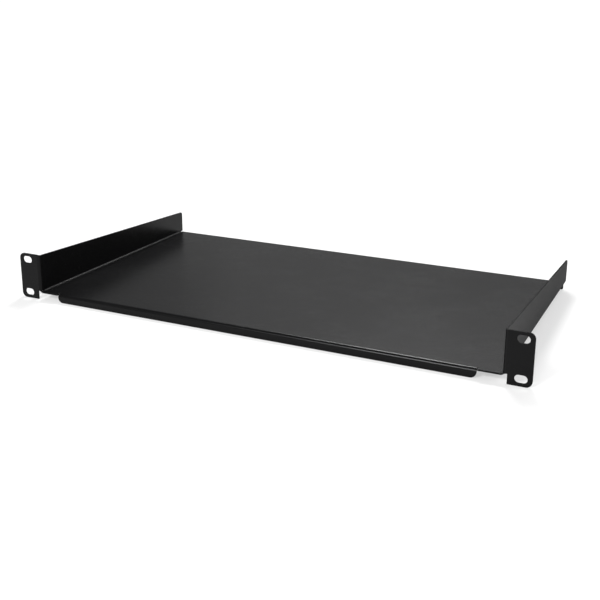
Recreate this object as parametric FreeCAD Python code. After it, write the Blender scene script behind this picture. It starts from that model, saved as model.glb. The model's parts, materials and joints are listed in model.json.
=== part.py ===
"""One-unit cantilever shelf for a 19-inch equipment rack, folded from one sheet of steel.

The shelf is a flat pan with two side walls folded up, one lip folded down along its
front edge and another along its rear edge. Each wall carries on round one more bend
into an ear, which stands square to it and bolts to the front rail of the rack.

Millimetres. X runs across the rack, Y from the rack's front to its back, Z up.
The origin is the middle of the four screw slots, on the plane where the rear faces of
the ears meet the rail. Heights in the dimensions below are counted from the bottom
edge of the ears, and the finished shelf is lowered to its origin at the end.
"""
import FreeCAD, Part

import math
import os

Vector = FreeCAD.Vector

# ---- sheet ----
sheet = 1.5                 # thickness of the steel
bend_inner = 1.5            # inside radius of every bend
bend_outer = bend_inner + sheet

# ---- rack standard ----
panel_width = 482.6         # across both ears, the 19 inches of the standard
unit_height = 43.6          # one rack unit, less the working gap
hole_columns = 465.1        # between the two columns of rail holes
hole_rows = 31.75           # between the outer holes of one unit

# ---- pan and walls ----
body_width = 440.0          # outside to outside of the walls, so it passes the rails
depth = 250.0               # front of the ears to the back of the rear lip
pan_top = 8.0               # height of the load surface
wall_front_top = 42.9       # height of a wall's straight top where the ear's bend ends
wall_rear_top = 30.4        # height of the same edge carried on to the rear
wall_corner_r = 3.0         # rounding of a wall's rear top corner

# ---- ears ----
ear_corner_r = 5.0          # rounding of an ear's two outer corners
slot_length = 10.0
slot_width = 6.5
tab_inner_x = 222.2         # inner edge of the tab that reaches below the ear's bend
notch_top = 8.3             # top of the relief notch between that tab and the pan
notch_corner_r = 1.0

# ---- lips ----
front_lip_length = 398.0
front_lip_corner_r = 5.0    # rounding of its two free corners
rear_lip_length = 436.0
rear_lip_corner_r = 1.5
slit_width = 0.5            # cut at each end of the front lip, so that it can be folded
slit_run_on = 1.0           # how far a relief cut runs on past the end of a bend
foot_relief_turn = 55.0     # degrees of a wall's bend cut away to free it from the rear lip

# ---- places that follow from those ----
front = -sheet              # front faces of the ears and of the front lip
rear = front + depth        # back face of the rear lip
pan_bottom = pan_top - sheet
wall_foot = pan_bottom + bend_outer      # where a wall's flat part begins
half_body = body_width / 2
half_inside = half_body - sheet
half_pan = half_body - bend_outer        # where the pan turns up into a wall
half_panel = panel_width / 2
ear_bend_end = front + bend_outer        # where the ear's bend meets the flat wall
ear_bend_x = half_inside + bend_outer    # where it meets the flat ear
margin = 5.0                # how far cutters stand out past what they cut


def corner_arc(before, corner, after, radius):
    """Start, middle and end of the arc that rounds one corner of an outline."""
    to_before = (before - corner).normalize()
    to_after = (after - corner).normalize()
    half_angle = to_before.getAngle(to_after) / 2
    run = radius / math.tan(half_angle)
    bisector = (to_before + to_after).normalize()
    centre = corner + bisector * (radius / math.sin(half_angle))
    return corner + to_before * run, centre - bisector * radius, corner + to_after * run


def rounded_wire(points, radii, closed):
    """A wire of straight runs through the points, with the given radius at each one.

    A radius of nought leaves the corner sharp. The ends of an open wire take none.
    """
    count = len(points)
    stations = []
    for i, point in enumerate(points):
        if radii[i] == 0 or (not closed and i in (0, count - 1)):
            stations.append([point])
        else:
            stations.append(corner_arc(points[i - 1], point, points[(i + 1) % count], radii[i]))
    edges = []
    for i, station in enumerate(stations):
        if len(station) == 3:
            edges.append(Part.Arc(*station).toShape())
        if closed or i < count - 1:
            start, end = station[-1], stations[(i + 1) % count][0]
            if start.distanceToPoint(end) > 1e-6:
                edges.append(Part.LineSegment(start, end).toShape())
    return Part.Wire(edges)


def plate(points, radii, sweep):
    """A flat outline with rounded corners, carried along the vector sweep."""
    return Part.Face(rounded_wire(points, radii, closed=True)).extrude(sweep)


def bent_strip(outer_path, outer_radii, sweep):
    """A folded strip of sheet, from the path of its convex face.

    The other face is the path offset by the sheet's thickness towards the centres of
    the bends, so each bend keeps one centre for both of its faces. Of the two sides
    that the path can be offset to, that is the one with the smaller area.
    """
    path = rounded_wire(outer_path, outer_radii, closed=False)
    sections = [path.makeOffset2D(side * sheet, fill=True, openResult=True) for side in (-1, 1)]
    section = min(sections, key=lambda face: face.Area)
    return section.extrude(sweep)


def block(low, high):
    """A box between two opposite corners."""
    size = [b - a for a, b in zip(low, high)]
    return Part.makeBox(size[0], size[1], size[2], Vector(*low))


def with_mirror(shape):
    """A shape and its reflection in the plane X = 0."""
    return [shape, shape.mirror(Vector(0, 0, 0), Vector(1, 0, 0))]


def make_channel():
    """The pan with both walls folded up, before any end is trimmed."""
    outer_path = [
        Vector(-half_body, front, unit_height),
        Vector(-half_body, front, pan_bottom),
        Vector(half_body, front, pan_bottom),
        Vector(half_body, front, unit_height),
    ]
    channel = bent_strip(outer_path, [0, bend_outer, bend_outer, 0], Vector(0, depth, 0))
    side_outline = [
        Vector(-half_body - margin, front, 0),
        Vector(-half_body - margin, front, wall_front_top),
        Vector(-half_body - margin, ear_bend_end, wall_front_top),
        Vector(-half_body - margin, rear, wall_rear_top),
        Vector(-half_body - margin, rear, 0),
    ]
    side_radii = [0, 0, 0, wall_corner_r, 0]
    across = Vector(body_width + 2 * margin, 0, 0)
    return channel.common(plate(side_outline, side_radii, across))


def channel_cutters():
    """What the relief cuts and the other bends take away from the channel."""
    rear_bend_start = rear - bend_outer
    half_front_cut = front_lip_length / 2 + slit_width
    cutters = [
        # the strip that the front lip's bend replaces, with a slit at each of its ends
        block((-half_front_cut, front - margin, 0), (half_front_cut, ear_bend_end, wall_foot)),
        # the strip that the rear lip's bend replaces
        block((-half_pan, rear_bend_start, 0), (half_pan, rear + margin, wall_foot)),
    ]
    # each slit runs on past the end of the lip's bend
    cutters += with_mirror(block(
        (front_lip_length / 2, front - margin, 0),
        (half_front_cut, ear_bend_end + slit_run_on, wall_foot),
    ))
    # the foot of a wall's bend stops short of the rear lip's bend
    turn = math.radians(foot_relief_turn)
    relief_start = rear_bend_start - slit_run_on
    far_x = half_pan + 2 * bend_outer * math.sin(turn)
    far_z = wall_foot - 2 * bend_outer * math.cos(turn)
    relief = [
        Vector(half_pan, relief_start, 0),
        Vector(half_pan, relief_start, wall_foot),
        Vector(far_x, relief_start, far_z),
        Vector(far_x, relief_start, 0),
    ]
    cutters += with_mirror(plate(relief, [0, 0, 0, 0], Vector(0, rear + margin - relief_start, 0)))
    # the flat wall ends where the ear's bend begins
    cutters += with_mirror(block(
        (half_inside - margin, front - margin, wall_foot),
        (half_body + margin, ear_bend_end, unit_height + margin),
    ))
    return cutters


def stadium(corners, sweep):
    """A slot's solid from the corners of the box round it, with fully round ends."""
    low_left, low_right, high_right, high_left = corners
    radius = (high_left - low_left).Length / 2
    along = (low_right - low_left).normalize()
    up = (high_left - low_left).normalize()
    left_middle = (low_left + high_left) * 0.5
    right_middle = (low_right + high_right) * 0.5
    outline = Part.Wire([
        Part.LineSegment(low_left + along * radius, low_right - along * radius).toShape(),
        Part.Arc(low_right - along * radius, right_middle, high_right - along * radius).toShape(),
        Part.LineSegment(high_right - along * radius, high_left + along * radius).toShape(),
        Part.Arc(high_left + along * radius, left_middle, low_left + along * radius).toShape(),
    ])
    return Part.Face(outline).extrude(sweep)


def make_slot(row):
    """A cutter for one horizontal screw slot; row is -1 for the lower and 1 for the upper."""
    middle_x = hole_columns / 2
    middle_z = unit_height / 2 + row * hole_rows / 2
    x_low, x_high = middle_x - slot_length / 2, middle_x + slot_length / 2
    z_low, z_high = middle_z - slot_width / 2, middle_z + slot_width / 2
    corners = [
        Vector(x_low, front - margin, z_low),
        Vector(x_high, front - margin, z_low),
        Vector(x_high, front - margin, z_high),
        Vector(x_low, front - margin, z_high),
    ]
    return stadium(corners, Vector(0, 2 * margin, 0))


def make_ear():
    """The right-hand ear with the bend that joins it to its wall, slots cut."""
    convex_path = [
        Vector(half_inside, ear_bend_end, 0),
        Vector(half_inside, front, 0),
        Vector(half_panel, front, 0),
    ]
    strip = bent_strip(convex_path, [0, bend_outer, 0], Vector(0, 0, unit_height))
    inner_edge = half_inside - margin
    outline = [
        Vector(inner_edge, front - margin, notch_top),
        Vector(tab_inner_x, front - margin, notch_top),
        Vector(tab_inner_x, front - margin, 0),
        Vector(half_panel, front - margin, 0),
        Vector(half_panel, front - margin, unit_height),
        Vector(ear_bend_x, front - margin, unit_height),
        Vector(half_body, front - margin, wall_front_top),
        Vector(inner_edge, front - margin, wall_front_top),
    ]
    radii = [0, notch_corner_r, 0, ear_corner_r, ear_corner_r, 0, 0, 0]
    through = Vector(0, 2 * margin + bend_outer, 0)
    ear = strip.common(plate(outline, radii, through))
    return ear.cut([make_slot(-1), make_slot(1)])


def make_lip(length, corner_r, face_y, inward):
    """A lip folded down from the pan; inward is 1 at the front edge and -1 at the rear."""
    half = length / 2
    outer_path = [
        Vector(-half, face_y + inward * bend_outer, pan_top),
        Vector(-half, face_y, pan_top),
        Vector(-half, face_y, 0),
    ]
    strip = bent_strip(outer_path, [0, bend_outer, 0], Vector(length, 0, 0))
    outline = [
        Vector(-half, face_y - margin, 0),
        Vector(half, face_y - margin, 0),
        Vector(half, face_y - margin, pan_top),
        Vector(-half, face_y - margin, pan_top),
    ]
    return strip.common(plate(outline, [corner_r, corner_r, 0, 0], Vector(0, 2 * margin, 0)))


def make_shelf():
    """The whole folded sheet, placed at its origin."""
    channel = make_channel().cut(channel_cutters())
    front_lip = make_lip(front_lip_length, front_lip_corner_r, front, 1)
    rear_lip = make_lip(rear_lip_length, rear_lip_corner_r, rear, -1)
    shelf = channel.fuse(with_mirror(make_ear()) + [front_lip, rear_lip]).removeSplitter()
    shelf.translate(Vector(0, 0, -unit_height / 2))
    return shelf


shelf = make_shelf()
solids = shelf.Solids
print("solids:", len(solids), "valid:", shelf.isValid(), "volume mm3:", round(shelf.Volume, 1))
print("box:", shelf.BoundBox)
os.makedirs("parts", exist_ok=True)
solids[0].exportStep("parts/folded_shelf.step")
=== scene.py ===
# %% [markdown]
# # A cantilever rack shelf, folded from one sheet
#
# The real shelf starts as a flat steel blank. A laser or a punch cuts its outline, a press
# brake folds it, and a powder coat covers it last. This lesson goes the same way: it draws
# the blank, folds it with one formula, gives its edges the soft rounding that the coat
# leaves, and then mixes the coat itself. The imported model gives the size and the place.

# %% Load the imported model
import json
import math

import bmesh
import bpy
import numpy as np
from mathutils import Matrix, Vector


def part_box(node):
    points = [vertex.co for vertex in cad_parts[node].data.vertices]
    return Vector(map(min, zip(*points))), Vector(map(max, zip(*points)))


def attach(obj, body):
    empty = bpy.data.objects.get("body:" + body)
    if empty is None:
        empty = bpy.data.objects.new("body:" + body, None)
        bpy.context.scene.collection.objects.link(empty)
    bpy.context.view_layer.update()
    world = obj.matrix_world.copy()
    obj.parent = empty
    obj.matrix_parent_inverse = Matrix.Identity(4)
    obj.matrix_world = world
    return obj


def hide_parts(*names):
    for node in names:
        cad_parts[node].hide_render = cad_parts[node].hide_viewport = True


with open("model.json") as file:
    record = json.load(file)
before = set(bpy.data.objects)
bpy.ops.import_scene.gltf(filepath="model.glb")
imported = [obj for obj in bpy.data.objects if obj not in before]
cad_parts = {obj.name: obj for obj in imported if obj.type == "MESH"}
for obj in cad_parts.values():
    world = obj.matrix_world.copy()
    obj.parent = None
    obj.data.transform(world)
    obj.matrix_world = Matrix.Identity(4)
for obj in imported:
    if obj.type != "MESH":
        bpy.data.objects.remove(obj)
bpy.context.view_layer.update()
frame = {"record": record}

# %% [markdown]
# ## The sizes of the fold
#
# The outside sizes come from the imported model, and the screw slots from its mount, so the
# piece made here lands on the solid that it stands for. What only the fold knows, such as
# the thickness of the sheet and the radius of its bends, is named here. Lengths are in
# metres, as everywhere in Blender.

# %% Sizes of the sheet and its folds
mm = 0.001
low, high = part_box("folded_shelf")
slots_mount = next(m for m in frame["record"]["mounts"] if m["name"] == "rack_slots")["dims"]

sheet = 1.5 * mm                          # thickness
bend_inner = 1.5 * mm                     # inside radius of a bend
bend_middle = bend_inner + sheet / 2      # radius of the sheet's middle layer
bend_outer = bend_inner + sheet
bend_run = bend_middle * math.pi / 2      # length of the middle layer round a square bend
coat_edge = 0.28 * mm                     # rounding that the coat gives to a cut edge

front, rear = low.y, high.y               # front faces of the ears, back of the rear lip
bottom, top = low.z, high.z               # of the ears
wall_outside = 220.0 * mm                 # X of a wall's outer face
wall_inside = wall_outside - sheet
pan_top = bottom + 8.0 * mm               # height of the load surface
pan_middle = pan_top - sheet / 2
wall_front_top = bottom + 42.9 * mm       # height of a wall's straight top at the ear's bend
wall_rear_top = bottom + 30.4 * mm        # and at the rear
front_lip_half = 199.0 * mm               # half the length of the front lip
rear_lip_half = 218.0 * mm                # and of the rear lip
tab_inside = 222.2 * mm                   # X where the tab below an ear's bend begins
notch_top = bottom + 8.3 * mm             # top of the notch between that tab and the pan

slit = 0.5 * mm                           # cut at each end of the front lip
relief_run_on = 1.0 * mm                  # how far a relief cut runs on past a bend
foot_relief_turn = math.radians(55.0)     # part of a wall's bend that is cut off at the rear

lip_corner = 5.0 * mm                     # radii of the outline's corners
ear_corner = 5.0 * mm
wall_corner = 3.0 * mm
rear_lip_corner = 1.5 * mm
notch_corner = 0.55 * mm
tiny_corner = 0.4 * mm                    # corners that look sharp

print("round one bend, mm:", round(bend_run / mm, 3))

# %% [markdown]
# ## Where each fold starts on the blank
#
# A point of the blank has two coordinates: `u` across the shelf and `v` from its front to
# its back. In the pan they are the real X and Y. Past a fold they go on along the sheet, as
# if it were still flat, so a length on the blank is a length on the finished shelf.

# %% Fold lines and edges of the blank
wall_fold = wall_outside - bend_outer         # u where the pan turns up into a wall
foot = wall_fold + bend_run                   # u where a wall's flat part begins
foot_height = pan_middle + bend_middle        # and its height
front_fold = front + bend_outer               # v where lip and ears turn away
rear_fold = rear - bend_outer
lip_drop = (pan_top - bend_outer) - bottom    # flat part of a lip
ear_start_x = wall_inside + bend_outer        # X where an ear's flat part begins

front_lip_edge = front_fold - bend_run - lip_drop
rear_lip_edge = rear_fold + bend_run + lip_drop
slit_end = front_fold + relief_run_on
foot_cut = rear_fold - relief_run_on
freed_foot = wall_fold + bend_middle * foot_relief_turn


def u_at_height(z):
    """The blank's u at height z on a wall or an ear."""
    return foot + (z - foot_height)


def v_at_ear(x):
    """The blank's v at distance x from the middle, on an ear's flat part."""
    return front_fold - bend_run - (x - ear_start_x)


blank_size = (2 * u_at_height(top), rear_lip_edge - v_at_ear(high.x))
print("blank, mm:", [round(size / mm, 1) for size in blank_size])

# %% [markdown]
# ## The outline of the blank
#
# An outline could be traced with hundreds of points. Here it has only its corners, each with
# the radius that rounds it, and one function puts the arcs in. The left half is the right
# half turned over. The slots are four more closed outlines, which run the other way round
# because the sheet lies outside them.

# %% Rounded outlines
large_arc = 2.0 * mm                      # arcs above this radius take finer steps
large_arc_step = math.radians(7.5)
small_arc_step = math.radians(18.0)
slit_corner = 0.49 * slit                 # a little under half, so its two arcs never overlap


def rounded_loop(corners):
    """Closed outline through rounded corners, as an array of points.

    Each corner is (u, v, radius). The arc of a corner touches both of its edges: it starts
    radius * tan(turn / 2) before the corner, its centre lies radius to the side that the
    outline turns to, and its points are spread evenly over the turn.
    """
    corners = np.array(corners, dtype=float)
    points, radii = corners[:, :2], corners[:, 2]
    arriving = points - np.roll(points, 1, axis=0)
    leaving = np.roll(points, -1, axis=0) - points
    arriving /= np.linalg.norm(arriving, axis=1)[:, None]
    leaving /= np.linalg.norm(leaving, axis=1)[:, None]
    turns = np.arctan2(
        arriving[:, 0] * leaving[:, 1] - arriving[:, 1] * leaving[:, 0],
        (arriving * leaving).sum(axis=1),
    )
    arcs = []
    for point, along, turn, radius in zip(points, arriving, turns, radii):
        step = large_arc_step if radius > large_arc else small_arc_step
        swept = np.linspace(0.0, turn, max(2, math.ceil(abs(turn) / step)) + 1)
        inward = np.sign(turn) * np.array([-along[1], along[0]])
        start = point - along * radius * math.tan(abs(turn) / 2)
        centre = start + inward * radius
        cos, sin = np.cos(swept)[:, None], np.sin(swept)[:, None]
        spoke = start - centre
        arcs.append(centre + cos * spoke + sin * np.array([-spoke[1], spoke[0]]))
    return np.concatenate(arcs)


half_outline = [
    # front lip and the slit at its end
    (front_lip_half, front_lip_edge, lip_corner),
    (front_lip_half, slit_end, slit_corner),
    (front_lip_half + slit, slit_end, slit_corner),
    (front_lip_half + slit, front, tiny_corner),
    # notch and tab
    (u_at_height(notch_top), front, notch_corner),
    (u_at_height(notch_top), v_at_ear(tab_inside), notch_corner),
    (u_at_height(bottom), v_at_ear(tab_inside), tiny_corner),
    # the ear's two outer corners
    (u_at_height(bottom), v_at_ear(high.x), ear_corner),
    (u_at_height(top), v_at_ear(high.x), ear_corner),
    # top of the ear's bend and of the wall
    (u_at_height(top), v_at_ear(ear_start_x), wall_corner),
    (u_at_height(wall_front_top), front_fold, wall_corner),
    (u_at_height(wall_rear_top), rear, wall_corner),
    # the wall's foot, cut free of the rear lip
    (freed_foot, rear, tiny_corner),
    (freed_foot, foot_cut, tiny_corner),
    (wall_fold, foot_cut, tiny_corner),
    (wall_fold, rear_fold, tiny_corner),
    # rear lip
    (rear_lip_half, rear_fold, tiny_corner),
    (rear_lip_half, rear_lip_edge, rear_lip_corner),
]
blank_outline = rounded_loop(half_outline + [(-u, v, r) for u, v, r in reversed(half_outline)])

slot_half_length = slots_mount["slot_length_mm"] * mm / 2
slot_radius = slots_mount["hole_r_mm"] * mm
slot_corner = 0.999 * slot_radius         # a little under half the width, for the same reason
slot_x = slots_mount["spacing_x_mm"] * mm / 2
slot_z = slots_mount["spacing_y_mm"] * mm / 2


def slot_outline(side, height):
    """One screw slot on the blank; side is -1 or 1, and height counts from the ear's middle."""
    middle_u = side * u_at_height((bottom + top) / 2 + height)
    middle_v = v_at_ear(slot_x)
    return rounded_loop([
        (middle_u + du * slot_radius, middle_v + dv * slot_half_length, slot_corner)
        for du, dv in ((-1, -1), (-1, 1), (1, 1), (1, -1))
    ])


slot_outlines = [slot_outline(side, height) for side in (-1, 1) for height in (-slot_z, slot_z)]
outlines = [blank_outline, *slot_outlines]
print("outline points:", len(blank_outline), "and in each slot:", len(slot_outlines[0]))

# %% [markdown]
# ## Folding, as a formula
#
# A fold could be made by turning part of a mesh about a line, but then the bend has to be
# patched in afterwards. A formula does both: it takes any point of the blank and says where
# the press puts it. Round a bend the sheet follows an arc about the bend's centre, so the
# distance along the blank becomes an angle. Points above the middle layer are nearer to the
# centre or further from it, and that gives both faces of the sheet at once.

# %% The fold
corner_blend = 4.5 * mm                   # how far behind the ear's bend the wall's foot changes
foot_blend = 1.0 * mm                     # and how far below the top of the notch
on_line = 1e-9                            # a point this near to a fold line counts as past it
sample_v = 20.0 * mm                      # where the two printed points lie


def smooth_step(value):
    """0 below 0, 1 above 1, and 3 t^2 - 2 t^3 between."""
    t = np.clip(value, 0.0, 1.0)
    return t * t * (3.0 - 2.0 * t)


def round_bend(distance):
    """Angle turned and straight run beyond the bend, at a distance past the fold line."""
    angle = np.clip(distance / bend_middle, 0.0, math.pi / 2)
    return angle, np.maximum(distance - bend_run, 0.0)


def fold(u, v, n):
    """Where the press puts the blank's point (u, v), n above its middle layer.

    Pan and walls: x = min(u, fold) + (r - n) sin(angle), z = centre - (r - n) cos(angle)
    + run up the wall, with r the radius of the middle layer and the centre above the pan.
    Ears: the same arc turned about an upright line outside the wall, where r + n is the
    radius, because the ear folds away from the face that looks at the load. Lips: again
    r + n, about a line below the pan. At the corner where pan, wall and ear meet, the
    wall's foot passes smoothly from the first formula to the second.
    """
    side, a = np.where(u < 0, -1.0, 1.0), np.abs(u)

    turn, rise = round_bend(a - wall_fold)
    wall_x = np.minimum(a, wall_fold) + (bend_middle - n) * np.sin(turn)
    wall_z = foot_height - (bend_middle - n) * np.cos(turn) + rise

    turn, run = round_bend(front_fold - v)
    ear_x = ear_start_x - (bend_middle + n) * np.cos(turn) + run
    ear_y = np.maximum(v, front_fold) - (bend_middle + n) * np.sin(turn)
    ear_z = foot_height + (a - foot)

    on_tab_side = (v < (front + v_at_ear(tab_inside)) / 2) & (a > front_lip_half + slit)
    near_corner = smooth_step((front_fold + corner_blend - v) / corner_blend)
    near_foot = smooth_step((a - u_at_height(notch_top) + foot_blend) / foot_blend)
    ear = np.where(on_tab_side | (a >= foot), 1.0, near_corner * near_foot)
    x = ear * ear_x + (1 - ear) * wall_x
    y = ear * ear_y + (1 - ear) * v
    z = ear * ear_z + (1 - ear) * wall_z

    lips = ((front_fold, 1.0, front_lip_half), (rear_fold, -1.0, rear_lip_half))
    for edge, inward, half in lips:
        past = (edge - v) * inward
        turn, run = round_bend(past)
        on_lip = (past > -on_line) & (a < half + slit / 2)
        x = np.where(on_lip, a, x)
        y = np.where(on_lip, edge - inward * (bend_middle + n) * np.sin(turn), y)
        z = np.where(on_lip, pan_middle - bend_middle + (bend_middle + n) * np.cos(turn) - run, z)
    return np.stack([side * x, y, z], axis=-1)


for name, u in (("middle of the pan", 0.0), ("top of the right wall", u_at_height(wall_front_top))):
    print(name, "mm:", np.round(fold(np.array(u), np.array(sample_v), np.array(0.0)) / mm, 2))

# %% [markdown]
# ## From outline to flat mesh
#
# The flat blank has to bend sharply in a few narrow strips and nowhere else, so it is
# filled once and then sliced along lines: thirteen across each bend, a few more behind the
# ears' bend, and none where the sheet stays flat. Slicing keeps the mesh in one piece, so
# no edge is left open. The fill stops short of the outline by the width of the rounded rim,
# which is added afterwards, so no slice can cross the rim.

# %% The flat blank, filled and sliced
bend_slices = 13                          # lines across each bend
corner_slices = np.array([0.75, 1.5, 2.5, 3.5, 4.5]) * mm   # lines this far behind the ears' bend
same_place = 0.002 * mm                   # points closer than this are one point


def out_of_sheet(loop):
    """Unit vectors out of the sheet, which lies on the left of a closed outline.

    Each is the mean direction of the two edges that meet there, a quarter turn to the right.
    """
    ahead = np.roll(loop, -1, axis=0) - loop
    ahead /= np.linalg.norm(ahead, axis=1)[:, None]
    along = ahead + np.roll(ahead, 1, axis=0)
    along /= np.linalg.norm(along, axis=1)[:, None]
    return np.stack([along[:, 1], -along[:, 0]], axis=1)


outs = [out_of_sheet(outline) for outline in outlines]
fill_loops = [outline - coat_edge * out for outline, out in zip(outlines, outs)]


def rim_directions(points):
    """Vectors out of the sheet at points on the edge of the fill.

    A point that is a part t of the way from one corner of the edge to the next takes
    (1 - t) times the first corner's vector plus t times the second's. So the rim is a ruled
    strip, and two slices that leave it close together never cross in it.
    """
    start, out_start = np.concatenate(fill_loops), np.concatenate(outs)
    end = np.concatenate([np.roll(loop, -1, axis=0) for loop in fill_loops])
    out_end = np.concatenate([np.roll(out, -1, axis=0) for out in outs])
    along = end - start
    part = ((points[:, None] - start) * along).sum(axis=-1) / (along * along).sum(axis=-1)
    part = np.clip(part, 0.0, 1.0)
    miss = np.linalg.norm(start + part[..., None] * along - points[:, None], axis=-1)
    nearest = miss.argmin(axis=1)
    t = part[np.arange(len(points)), nearest][:, None]
    return (1 - t) * out_start[nearest] + t * out_end[nearest]


def flat_blank():
    """Fills the outlines inside the rim and slices the result along the lines of every bend.

    The lines that run from front to rear stop where the ears become flat.
    """
    blank = bmesh.new()
    for loop in fill_loops:
        verts = [blank.verts.new((u, v, 0.0)) for u, v in loop]
        for start, end in zip(verts, verts[1:] + verts[:1]):
            blank.edges.new((start, end))
    bmesh.ops.remove_doubles(blank, verts=blank.verts[:], dist=same_place)
    bmesh.ops.triangle_fill(blank, use_beauty=True, edges=blank.edges[:], normal=(0, 0, 1))
    around = np.linspace(0.0, bend_run, bend_slices)
    places_v = (*(front_fold - around), *(front_fold + corner_slices), *(rear_fold + around))
    across = [((0, v, 0), (0, 1, 0)) for v in places_v]
    lengthwise = [((side * u, 0, 0), (1, 0, 0)) for side in (-1, 1) for u in wall_fold + around]
    for planes, first_v in ((across, -math.inf), (lengthwise, front_fold - bend_run)):
        for place, normal in planes:
            faces = [face for face in blank.faces if face.calc_center_median().y > first_v]
            parts = {part for face in faces for part in (*face.verts, *face.edges)}
            bmesh.ops.bisect_plane(
                blank, geom=[*parts, *faces], dist=same_place, plane_co=place, plane_no=normal
            )
    for face in blank.faces:
        if face.normal.z < 0:
            face.normal_flip()
    return blank


def edge_loops(blank):
    """The open edges of the flat mesh as closed chains of vertex numbers, sheet on the left."""
    after = {}
    for edge in blank.edges:
        if len(edge.link_loops) == 1:
            loop = edge.link_loops[0]
            after[loop.vert.index] = loop.link_loop_next.vert.index
    chains = []
    while after:
        start, here = after.popitem()
        chain = [start]
        while here != start:
            chain.append(here)
            here = after.pop(here)
        chains.append(np.array(chain))
    return chains


blank = flat_blank()
blank.verts.index_update()
blank_points = np.array([vert.co[:2] for vert in blank.verts])
blank_faces = [[vert.index for vert in face.verts] for face in blank.faces]
blank_edges = edge_loops(blank)
blank.free()
print("flat mesh:", len(blank_points), "points,", len(blank_faces), "faces")
print("edges to round:", len(blank_edges))

# %% [markdown]
# ## Two faces and a soft edge
#
# The sheet's upper and lower faces are the same flat mesh, folded half a thickness above
# and below the middle layer. Between them runs the cut edge. Powder melts and draws back
# from a sharp corner, so both corners of the cut are quarter circles. A bevel modifier
# could round them, but it shrinks wherever two slices lie close together. Here the edge's
# profile is carried along the outline instead, and each point keeps its exact normal, so
# flats look flat and bends look round with no shading marks.

# %% The folded sheet
quarter_steps = 4                         # faces round each of the edge's two quarter circles
half_step = 0.05 * mm                     # half the distance over which a slope is measured


def smooth_object(name, points, faces):
    """A smooth-shaded object at the origin, from arrays of points and lists of faces."""
    mesh = bpy.data.meshes.new(name)
    mesh.from_pydata(points.tolist(), [], faces)
    mesh.polygons.foreach_set("use_smooth", np.ones(len(faces), dtype=bool))
    piece = bpy.data.objects.new(name, mesh)
    bpy.context.scene.collection.objects.link(piece)
    print(name, "has", len(points), "points and", len(faces), "faces")
    return piece


def surface_frame(u, v):
    """Unit normal of the folded middle layer and its two tangents along u and v.

    The tangents are the differences of the fold over twice half_step, and the normal is
    their cross product.
    """
    middle = np.zeros_like(u)
    along_u = fold(u + half_step, v, middle) - fold(u - half_step, v, middle)
    along_v = fold(u, v + half_step, middle) - fold(u, v - half_step, middle)
    normal = np.cross(along_u, along_v)
    normal /= np.linalg.norm(normal, axis=-1)[..., None]
    return normal, along_u, along_v


def folded_sheet(name):
    """The whole coated sheet as one closed mesh with a normal at every point.

    Flat parts: fold(u, v, +-half the sheet). Edge: for an angle a from 0 to 180 degrees the
    profile stands coat_edge * (1 - sin a) inside the outline, at height
    half - coat_edge + coat_edge * cos a above the middle layer for the upper quarter, and
    the mirror image below. The normal there is cos a of the sheet's own normal plus sin a
    of the direction out of the sheet.
    """
    half = sheet / 2
    count = len(blank_points)
    u, v = blank_points[:, 0], blank_points[:, 1]
    normal, _, _ = surface_frame(u, v)
    places = [fold(u, v, np.full(count, half)), fold(u, v, np.full(count, -half))]
    normals = [normal, -normal]
    faces = blank_faces + [[count + i for i in reversed(face)] for face in blank_faces]

    quarter = np.linspace(0.0, math.pi / 2, quarter_steps + 1)
    angles = np.concatenate([quarter, quarter + math.pi / 2])[1:-1]
    upper_or_lower = np.repeat([1.0, -1.0], quarter_steps)
    heights = upper_or_lower * (half - coat_edge) + coat_edge * np.cos(angles)
    reach = coat_edge * np.sin(angles)
    lean_cos, lean_sin = np.cos(angles)[:, None, None], np.sin(angles)[:, None, None]
    on_cut = [np.zeros(2 * count)]
    made = 2 * count
    for chain in blank_edges:
        edge_points = blank_points[chain]
        out = rim_directions(edge_points)
        ring = edge_points[None] + out[None] * reach[:, None, None]
        ring_u, ring_v = ring[..., 0], ring[..., 1]
        ring_heights = np.broadcast_to(heights[:, None], ring_u.shape)
        ring_normal, along_u, along_v = surface_frame(ring_u, ring_v)
        along = -out[None, :, 1:2] * along_u + out[None, :, 0:1] * along_v
        away = np.cross(along, ring_normal)
        away /= np.linalg.norm(away, axis=-1)[..., None]
        places.append(fold(ring_u, ring_v, ring_heights).reshape(-1, 3))
        normals.append((lean_cos * ring_normal + lean_sin * away).reshape(-1, 3))
        on_cut.append(np.repeat(np.sin(angles), len(chain)))

        rows = made + np.arange(ring_u.size).reshape(ring_u.shape)
        rows = np.vstack([chain[None], rows, count + chain[None]])
        ahead = np.roll(rows, -1, axis=1)
        quads = np.stack([rows[:-1], rows[1:], ahead[1:], ahead[:-1]], axis=-1)
        faces += quads.reshape(-1, 4).tolist()
        made += ring_u.size

    piece = smooth_object(name, np.concatenate(places), faces)
    mesh = piece.data
    mesh.normals_split_custom_set_from_vertices(np.concatenate(normals).tolist())
    cut_edge = mesh.attributes.new("cut_edge", "FLOAT", "POINT")
    cut_edge.data.foreach_set("value", np.concatenate(on_cut))
    mesh.update()
    return piece


coated_sheet = folded_sheet("coated_sheet")
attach(coated_sheet, "root")
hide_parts("folded_shelf")

# %% [markdown]
# ## Shader maths as plain expressions
#
# A material is a graph of nodes, and its maths is hard to read as a list of links. This
# class wraps one socket, so that `1 - mask` or `grain * 0.2` adds the Math node by itself.
# Every other kind of node comes from one method.

# %% A socket with operators


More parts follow.
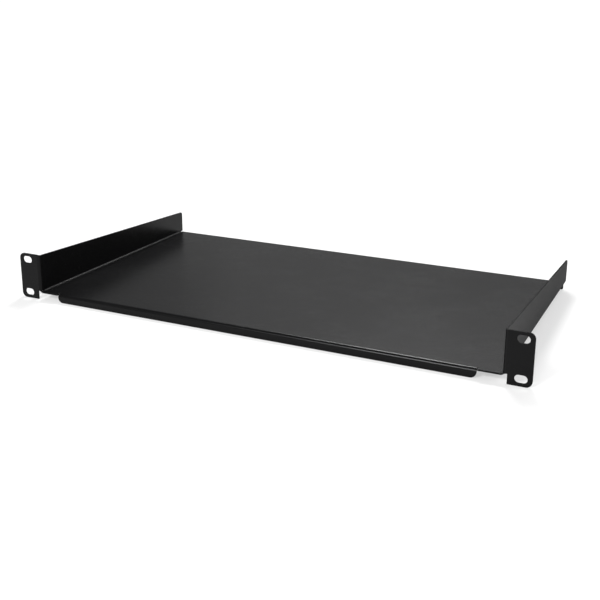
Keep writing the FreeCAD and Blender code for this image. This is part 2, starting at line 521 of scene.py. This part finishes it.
class Signal:
    """One output socket, or a way to make one, with the operators that the coat needs."""

    def __init__(self, tree, socket=None):
        self.tree = tree
        self.socket = socket

    def node(self, kind, settings=None, inputs=None, output=None):
        """Adds a node: its type, its settings, then the values or links of its sockets.

        The setting "stops" fills the two stops of a colour ramp. Without an output the
        first socket that is in use is taken.
        """
        made = self.tree.nodes.new(kind)
        for name, value in (settings or {}).items():
            if name == "stops":
                for element, (place, shade) in zip(made.color_ramp.elements, value):
                    element.position = place
                    element.color = (*shade, 1.0)
            else:
                setattr(made, name, value)
        sockets = {s.name: s for s in reversed(made.inputs) if s.enabled}
        for key, value in (inputs or {}).items():
            socket = made.inputs[key] if isinstance(key, int) else sockets[key]
            if isinstance(value, Signal):
                self.tree.links.new(value.socket, socket)
            else:
                socket.default_value = value
        outputs = [s for s in made.outputs if s.enabled]
        return Signal(self.tree, outputs[0] if output is None else made.outputs[output])

    def _math(self, operation, first, second):
        return self.node("ShaderNodeMath", {"operation": operation}, {0: first, 1: second})

    def __add__(self, other):
        return self._math("ADD", self, other)

    __radd__ = __add__

    def __mul__(self, other):
        return self._math("MULTIPLY", self, other)

    __rmul__ = __mul__

    def __sub__(self, other):
        return self._math("SUBTRACT", self, other)

    def __rsub__(self, other):
        return self._math("SUBTRACT", other, self)


def new_material(name):
    """An empty node material, and a Signal to build its graph with."""
    material = bpy.data.materials.new(name)
    material.use_nodes = True
    material.node_tree.nodes.clear()
    return material, Signal(material.node_tree)


def finish_material(material, shader):
    """Links the last shader to the material's output."""
    output = material.node_tree.nodes.new("ShaderNodeOutputMaterial")
    material.node_tree.links.new(shader.socket, output.inputs["Surface"])
    print("material", material.name, "has", len(material.node_tree.nodes), "nodes")


# %% [markdown]
# ## The powder coat
#
# Black powder is sprayed on dry and baked, and it flows into a skin that is never quite
# flat. There is a slow swell a few millimetres across, called orange peel, and a grain of
# fused particles on top of it. The colour is almost constant, and the eye reads the coat
# from its sheen. So the pattern goes into the bump and the roughness, and only a trace of
# it into the colour. All of it is noise on Object coordinates, so it has one scale on
# every face.
#
# Two more things change the sheen. Seen at a very flat angle, the grains hide the smooth
# skin between them, so the coat turns matt there. On a cut edge the powder lies thinner and
# rougher, and the `cut_edge` value that the mesh carries says where that is.

# %% Material: black powder coat
peel_size = 3.5 * mm                      # the slow swell
grain_size = 0.55 * mm
cloud_size = 60.0 * mm                    # patches a little duller or paler than the rest
bump_depth = 0.25 * mm

satin = 0.26                              # roughness of the plain coat
cloud_change = 0.06                       # how much of it the clouds and the grain change
grain_change = 0.10
matt_gain = 0.38                          # added at a very flat angle
matt_begins, matt_full = 0.72, 0.86       # 0 seen square on, 1 seen edge on
cut_gain = 0.45                           # added on a cut edge

darker_black = (0.0034, 0.0034, 0.0036)
paler_black = (0.0052, 0.0052, 0.0055)


def powder_coat():
    """Black satin powder: two scales of bump, a slightly uneven sheen and colour."""
    material, make = new_material("powder_coat_black")
    place = make.node("ShaderNodeTexCoord", output="Object")

    def noise(size, detail, rough=0.5):
        return make.node(
            "ShaderNodeTexNoise", {"noise_dimensions": "3D"},
            {"Vector": place, "Scale": 1.0 / size, "Detail": detail, "Roughness": rough},
        )

    peel = noise(peel_size, 1.0)
    grain = noise(grain_size, 3.0, 0.6)
    cloud = noise(cloud_size, 3.0)

    height = peel * 0.7 + grain * 0.3
    bump = make.node(
        "ShaderNodeBump", None, {"Strength": 0.12, "Distance": bump_depth, "Height": height}
    )
    facing = make.node("ShaderNodeLayerWeight", None, {"Blend": 0.5}, output="Facing")
    matt = make.node(
        "ShaderNodeMapRange", {"interpolation_type": "SMOOTHSTEP"},
        {"Value": facing, "From Min": matt_begins, "From Max": matt_full,
         "To Min": 0.0, "To Max": matt_gain},
    )
    cut = make.node("ShaderNodeAttribute", {"attribute_name": "cut_edge"}, output="Fac")
    uneven = satin + (cloud - 0.5) * cloud_change + (grain - 0.5) * grain_change
    roughness = uneven + matt + cut * cut_gain
    colour = make.node(
        "ShaderNodeValToRGB", {"stops": [(0.35, darker_black), (0.65, paler_black)]},
        {"Fac": cloud * 0.5 + grain * 0.5},
    )
    shader = make.node(
        "ShaderNodeBsdfPrincipled", None,
        {"Base Color": colour, "Roughness": roughness, "Normal": bump, "Specular IOR Level": 0.12},
    )
    finish_material(material, shader)
    return material


coated_sheet.data.materials.append(powder_coat())

# %% [markdown]
# ## The white studio
#
# A product of this kind stands on white paper that curves up all round it, so no line
# crosses the picture from any side. One profile turned about the upright axis makes the
# floor, the curve and the wall together. What the camera and the coat's reflections see of
# the paper is lifted to white, more so far away where the lamps are weak, because brighter
# lamps would wash out the black coat. The shelf's shadow stays as a soft, pale one.

# %% Floor and wall in one sweep
spokes = 96                               # faces once round the sweep
curve_steps = 16                          # faces up its curve
inner_ring = 0.5                          # metres, radius of its innermost ring of faces
near_distance, far_distance = 0.3, 3.5    # metres from the origin
near_lift, far_lift = 0.52, 0.93          # light added to the paper there, 1 being white
paper_grey = (0.42, 0.42, 0.42, 1.0)
fibre_density = 400.0                     # fibre lumps to a metre


def round_sweep(name, floor_radius, wall_height, curve):
    """A floor that curves up into a round wall, open at the top.

    Profile (r, z): straight from the middle to floor_radius - curve, a quarter circle of
    that radius up, then straight to wall_height. Each point goes to (r cos a, r sin a, z)
    for an angle a that runs once round.
    """
    quarter = np.linspace(0.0, math.pi / 2, curve_steps + 1)
    turned = floor_radius - curve + curve * np.sin(quarter)
    r = np.concatenate([[inner_ring], turned, [floor_radius]])
    z = np.concatenate([[0.0], curve - curve * np.cos(quarter), [wall_height]])
    angle = np.linspace(0.0, 2 * math.pi, spokes, endpoint=False)
    x, y = np.outer(r, np.cos(angle)), np.outer(r, np.sin(angle))
    rings = np.stack([x, y, np.outer(z, np.ones(spokes))], axis=-1)
    points = np.vstack([[[0.0, 0.0, 0.0]], rings.reshape(-1, 3)]) + [0.0, 0.0, bottom]
    index = 1 + np.arange(len(points) - 1).reshape(len(r), spokes)
    ahead = np.roll(index, -1, axis=1)
    quads = np.stack([index[:-1], index[1:], ahead[1:], ahead[:-1]], axis=-1).reshape(-1, 4)
    middle = np.stack([np.zeros(spokes, dtype=int), index[0], ahead[0]], axis=-1)
    piece = smooth_object(name, points, quads.tolist() + middle.tolist())
    return piece


def white_paper():
    """Matt paper, lifted to white for what the camera, gloss and glass see of it."""
    material, make = new_material("white_paper")
    place = make.node("ShaderNodeTexCoord", output="Object")
    fibre = make.node(
        "ShaderNodeTexNoise", None, {"Vector": place, "Scale": fibre_density, "Detail": 2.0}
    )
    away = make.node(
        "ShaderNodeVectorMath", {"operation": "LENGTH"}, {"Vector": place}, output="Value"
    )
    by_camera, by_gloss, by_glass = (
        make.node("ShaderNodeLightPath", output=f"Is {ray} Ray")
        for ray in ("Camera", "Glossy", "Transmission")
    )
    level = make.node(
        "ShaderNodeMapRange", None,
        {"Value": away, "From Min": near_distance, "From Max": far_distance,
         "To Min": near_lift, "To Max": far_lift},
    )
    lift = make.node(
        "ShaderNodeMix", {"data_type": "RGBA"},
        {"Factor": by_camera + by_gloss + by_glass, "A": (0.0, 0.0, 0.0, 1.0), "B": level},
    )
    shader = make.node(
        "ShaderNodeBsdfPrincipled", None,
        {"Base Color": paper_grey, "Roughness": 0.9 + (fibre - 0.5) * 0.1,
         "Specular IOR Level": 0.1, "Emission Color": lift, "Emission Strength": 1.0},
    )
    finish_material(material, shader)
    return material


sweep = round_sweep("paper_sweep", floor_radius=5.0, wall_height=0.4, curve=0.4)
sweep.data.materials.append(white_paper())

# %% [markdown]
# ## Lamps and panels
#
# Black satin shows its shape only by what it reflects. A narrow lamp high behind the shelf
# draws a bright line along the front bend, and a wider, lower one does the same where the
# pan turns up into a wall. A lamp in front lights the lower half of the front bend, and a
# dark line is left between it and the first. A broad dim panel behind gives the pan its
# even sheen, and one on the right opens up the dark faces. Each is set by the direction in
# which the shelf sees it.

# %% Lamps and room


def soft_lamp(name, azimuth, elevation, distance, across, tall, radiance):
    """A rectangular lamp facing the shelf.

    azimuth counts in degrees from straight behind, towards the shelf's left; across and
    tall are its angular sizes in degrees. Its power is 4 * area * radiance.
    """
    a, e = math.radians(azimuth), math.radians(elevation)
    away = np.array([-math.sin(a) * math.cos(e), math.cos(a) * math.cos(e), math.sin(e)])
    lamp = bpy.data.lights.new(name, "AREA")
    lamp.shape = "RECTANGLE"
    lamp.size = 2 * distance * math.cos(e) * math.tan(math.radians(across / 2))
    lamp.size_y = 2 * distance * math.tan(math.radians(tall / 2))
    lamp.energy = 4 * lamp.size * lamp.size_y * radiance
    holder = bpy.data.objects.new(name, lamp)
    holder.location = away * distance
    holder.rotation_euler = Vector(-away).to_track_quat("-Z", "Y").to_euler()
    bpy.context.scene.collection.objects.link(holder)
    print(name, "m:", round(lamp.size, 2), "x", round(lamp.size_y, 2), "W:", round(lamp.energy, 1))


for name, azimuth, elevation, distance, across, tall, radiance in (
    ("lamp_behind", 19.0, 47.0, 2.0, 22.0, 8.0, 42.0),
    ("lamp_behind_low", -3.0, 37.0, 2.0, 42.0, 9.0, 6.0),
    ("panel_behind", 3.0, 31.0, 2.6, 61.0, 24.0, 0.25),
    ("panel_right", -72.0, 38.0, 2.2, 50.0, 30.0, 2.0),
    ("lamp_in_front", 166.0, 35.0, 2.2, 16.0, 11.0, 46.0),
):
    soft_lamp(name, azimuth, elevation, distance, across, tall, radiance)

room = bpy.data.worlds.new("room")
room.use_nodes = True
background = room.node_tree.nodes["Background"].inputs
background["Color"].default_value = (1.0, 1.0, 1.0, 1.0)
background["Strength"].default_value = 0.30
bpy.context.scene.world = room
bpy.context.scene.view_settings.view_transform = "Standard"

# %% [markdown]
# ## The camera
#
# A shelf this wide, seen from near its right-hand front corner with a fairly long lens, shows
# the pan, one wall from inside, the other from outside, and both ears.

# %% Camera
look_down, roll, look_left = 0.2868, -0.0007, 0.4559      # radians

camera_data = bpy.data.cameras.new("camera")
camera_data.sensor_width = 36.0
camera_data.lens = 56.80
camera_data.shift_x = 0.0244
camera_data.shift_y = -0.0713
camera_data.clip_end = 50.0
camera = bpy.data.objects.new("camera", camera_data)
camera.location = (0.36107, -0.66117, 0.27008)
camera.rotation_euler = (math.pi / 2 - look_down, roll, look_left)
bpy.context.scene.collection.objects.link(camera)
bpy.context.scene.camera = camera
print("camera to the origin, m:", round(camera.location.length, 3))
